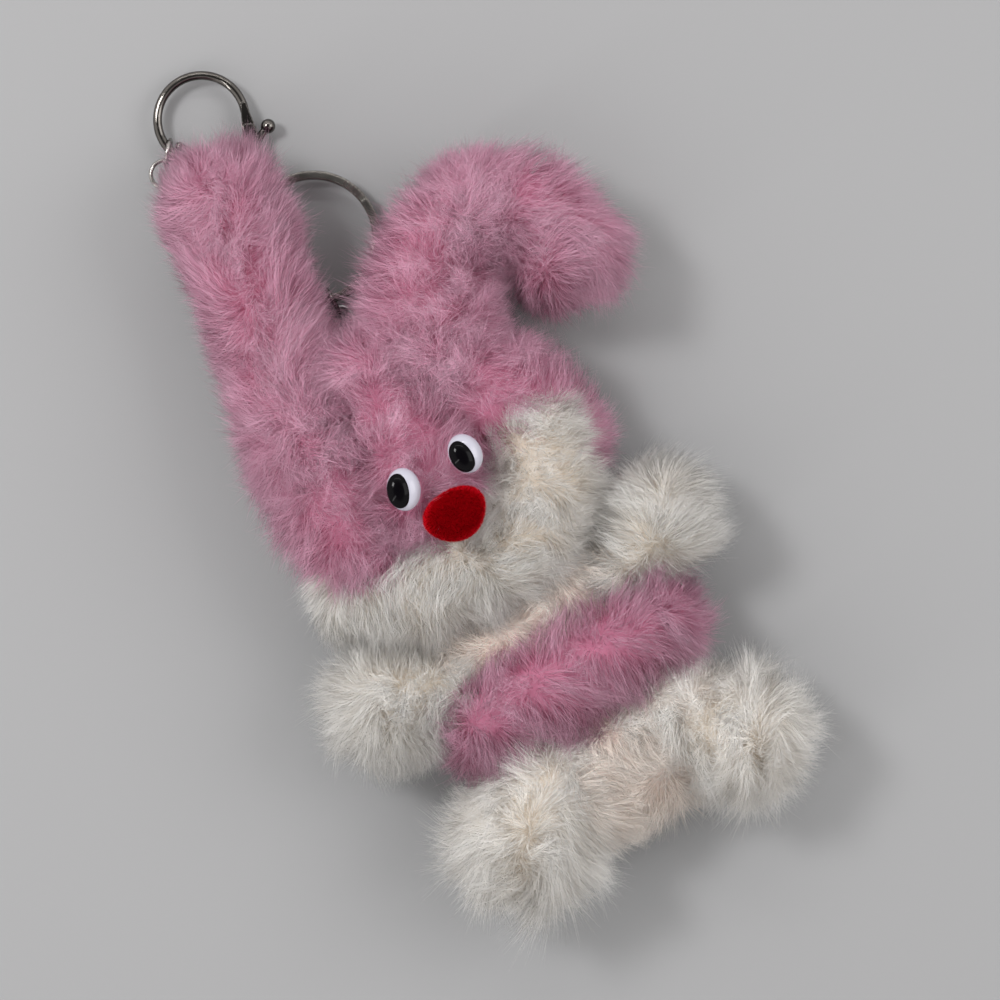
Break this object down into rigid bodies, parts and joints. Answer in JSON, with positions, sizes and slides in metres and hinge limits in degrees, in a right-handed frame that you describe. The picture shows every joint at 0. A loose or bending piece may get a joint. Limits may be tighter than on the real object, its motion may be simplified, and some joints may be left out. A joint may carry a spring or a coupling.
{
  "type": "plush keychain",
  "caption": "Bendable fur-stem bunny doll hung by its head on a flat split ring and a round swivel clasp with a sprung gate.",
  "frame": {"origin": "middle of the object's outline from above, on the surface that it lies on", "axes": "+X across the doll towards its folded ear, +Y from the feet to the clasp, +Z out of the face"},
  "size_m": [0.1054, 0.2028, 0.0448],
  "materials": {
    "dark_nickel": "polished dark nickel plate",
    "bright_nickel": "polished nickel plate",
    "spring_steel": "bright drawn wire",
    "core_wire": "twisted galvanised wire",
    "pink_fur": "long soft pile, rose roots and dusty pink tips",
    "white_fur": "long soft pile, ivory",
    "cream_fur": "long soft pile, warm cream roots",
    "white_plastic": "gloss moulded",
    "black_plastic": "gloss moulded",
    "red_flock": "short dense flock"
  },
  "bodies": {
    "head": {"head_fur": "pink_fur", "muzzle_fur": "white_fur", "skull_wire": "core_wire", "hanging_loop": "core_wire", "left_eye_shell": "white_plastic", "left_eye_pupil": "black_plastic", "right_eye_shell": "white_plastic", "right_eye_pupil": "black_plastic", "nose": "red_flock"},
    "torso": {"neck_wrap": "cream_fur", "chest_fur": "cream_fur", "belt_fur": "pink_fur", "hips_fur": "cream_fur", "crotch_wrap": "cream_fur", "spine_wire": "core_wire"},
    "left_ear": {"left_ear_fur": "pink_fur", "left_ear_wire": "core_wire"},
    "right_ear": {"right_ear_fur": "pink_fur", "right_ear_wire": "core_wire"},
    "right_ear_tip": {"right_ear_tip_fur": "pink_fur", "right_ear_tip_wire": "core_wire"},
    "left_arm": {"left_arm_fur": "white_fur", "left_arm_wire": "core_wire"},
    "right_arm": {"right_arm_fur": "white_fur", "right_arm_wire": "core_wire"},
    "left_leg": {"left_leg_fur": "white_fur", "left_leg_wire": "core_wire"},
    "right_leg": {"right_leg_fur": "white_fur", "right_leg_wire": "core_wire"},
    "head_ring": {"head_jump_ring": "dark_nickel"},
    "key_ring": {"split_ring": "dark_nickel"},
    "swivel": {"swivel_eye": "dark_nickel"},
    "clasp": {"clasp_hook": "dark_nickel", "clasp_gate_pin": "dark_nickel", "clasp_gate_spring": "spring_steel"},
    "gate": {"clasp_gate": "dark_nickel"},
    "spare_link": {"spare_link_ring": "bright_nickel"},
    "spare_ring": {"spare_open_ring": "bright_nickel"}
  },
  "joints": [
    {"name": "neck_bend", "type": "hinge", "parent": "head", "child": "torso", "pos_m": [-0.00275, -0.0404, 0.014], "axis": [0, 0, 1], "range_deg": [-8, 8]},
    {"name": "left_ear_bend", "type": "hinge", "parent": "head", "child": "left_ear", "pos_m": [-0.02775, 0.0206, 0.0195], "axis": [1, 0, 0], "range_deg": [0, 60]},
    {"name": "right_ear_bend", "type": "hinge", "parent": "head", "child": "right_ear", "pos_m": [0.00625, 0.0206, 0.018], "axis": [0, 0, 1], "range_deg": [-12, 15]},
    {"name": "right_ear_tip_bend", "type": "hinge", "parent": "right_ear", "child": "right_ear_tip", "pos_m": [0.03025, 0.0406, 0.018], "axis": [0, 0, 1], "range_deg": [0, 110]},
    {"name": "left_arm_bend", "type": "hinge", "parent": "torso", "child": "left_arm", "pos_m": [-0.02975, -0.0464, 0.012], "axis": [0, 0, 1], "range_deg": [-15, 40]},
    {"name": "right_arm_bend", "type": "hinge", "parent": "torso", "child": "right_arm", "pos_m": [0.02025, -0.0434, 0.012], "axis": [0, 0, 1], "range_deg": [-40, 25]},
    {"name": "left_leg_bend", "type": "hinge", "parent": "torso", "child": "left_leg", "pos_m": [-0.01975, -0.0744, 0.013], "axis": [1, 0, 0], "range_deg": [-60, 0]},
    {"name": "right_leg_bend", "type": "hinge", "parent": "torso", "child": "right_leg", "pos_m": [0.01325, -0.0774, 0.012], "axis": [1, 0, 0], "range_deg": [-60, 0]},
    {"name": "head_ring_swing", "type": "hinge", "parent": "head", "child": "head_ring", "pos_m": [-0.00575, 0.03915, 0.0035], "axis": [0, 0, 1], "range_deg": [-20, 20]},
    {"name": "key_ring_swing", "type": "hinge", "parent": "head_ring", "child": "key_ring", "pos_m": [-0.00575, 0.04115, 0.0035], "axis": [0, 0, 1], "range_deg": [-18, 18]},
    {"name": "swivel_swing", "type": "hinge", "parent": "key_ring", "child": "swivel", "pos_m": [-0.00853, 0.06776, 0.0035], "axis": [0, 0, 1], "range_deg": [-4, 14]},
    {"name": "clasp_swivel", "type": "hinge", "parent": "swivel", "child": "clasp", "pos_m": [-0.00699, 0.07199, 0.0035], "axis": [0.342, 0.9397, 0], "continuous": true},
    {"name": "gate_pivot", "type": "hinge", "parent": "clasp", "child": "gate", "pos_m": [-0.00383, 0.07978, 0.0035], "axis": [0, 0, 1], "range_deg": [-42, 0], "stiffness_Nm_per_rad": 0.004, "springref_deg": 20.05},
    {"name": "spare_link_swing", "type": "hinge", "parent": "clasp", "child": "spare_link", "pos_m": [-0.02034, 0.08856, 0.0035], "axis": [0, 0, 1], "range_deg": [-12, 6]},
    {"name": "spare_ring_swing", "type": "hinge", "parent": "spare_link", "child": "spare_ring", "pos_m": [-0.02204, 0.08654, 0.0035], "axis": [0, 0, 1], "range_deg": [-20, 20]}
  ]
}
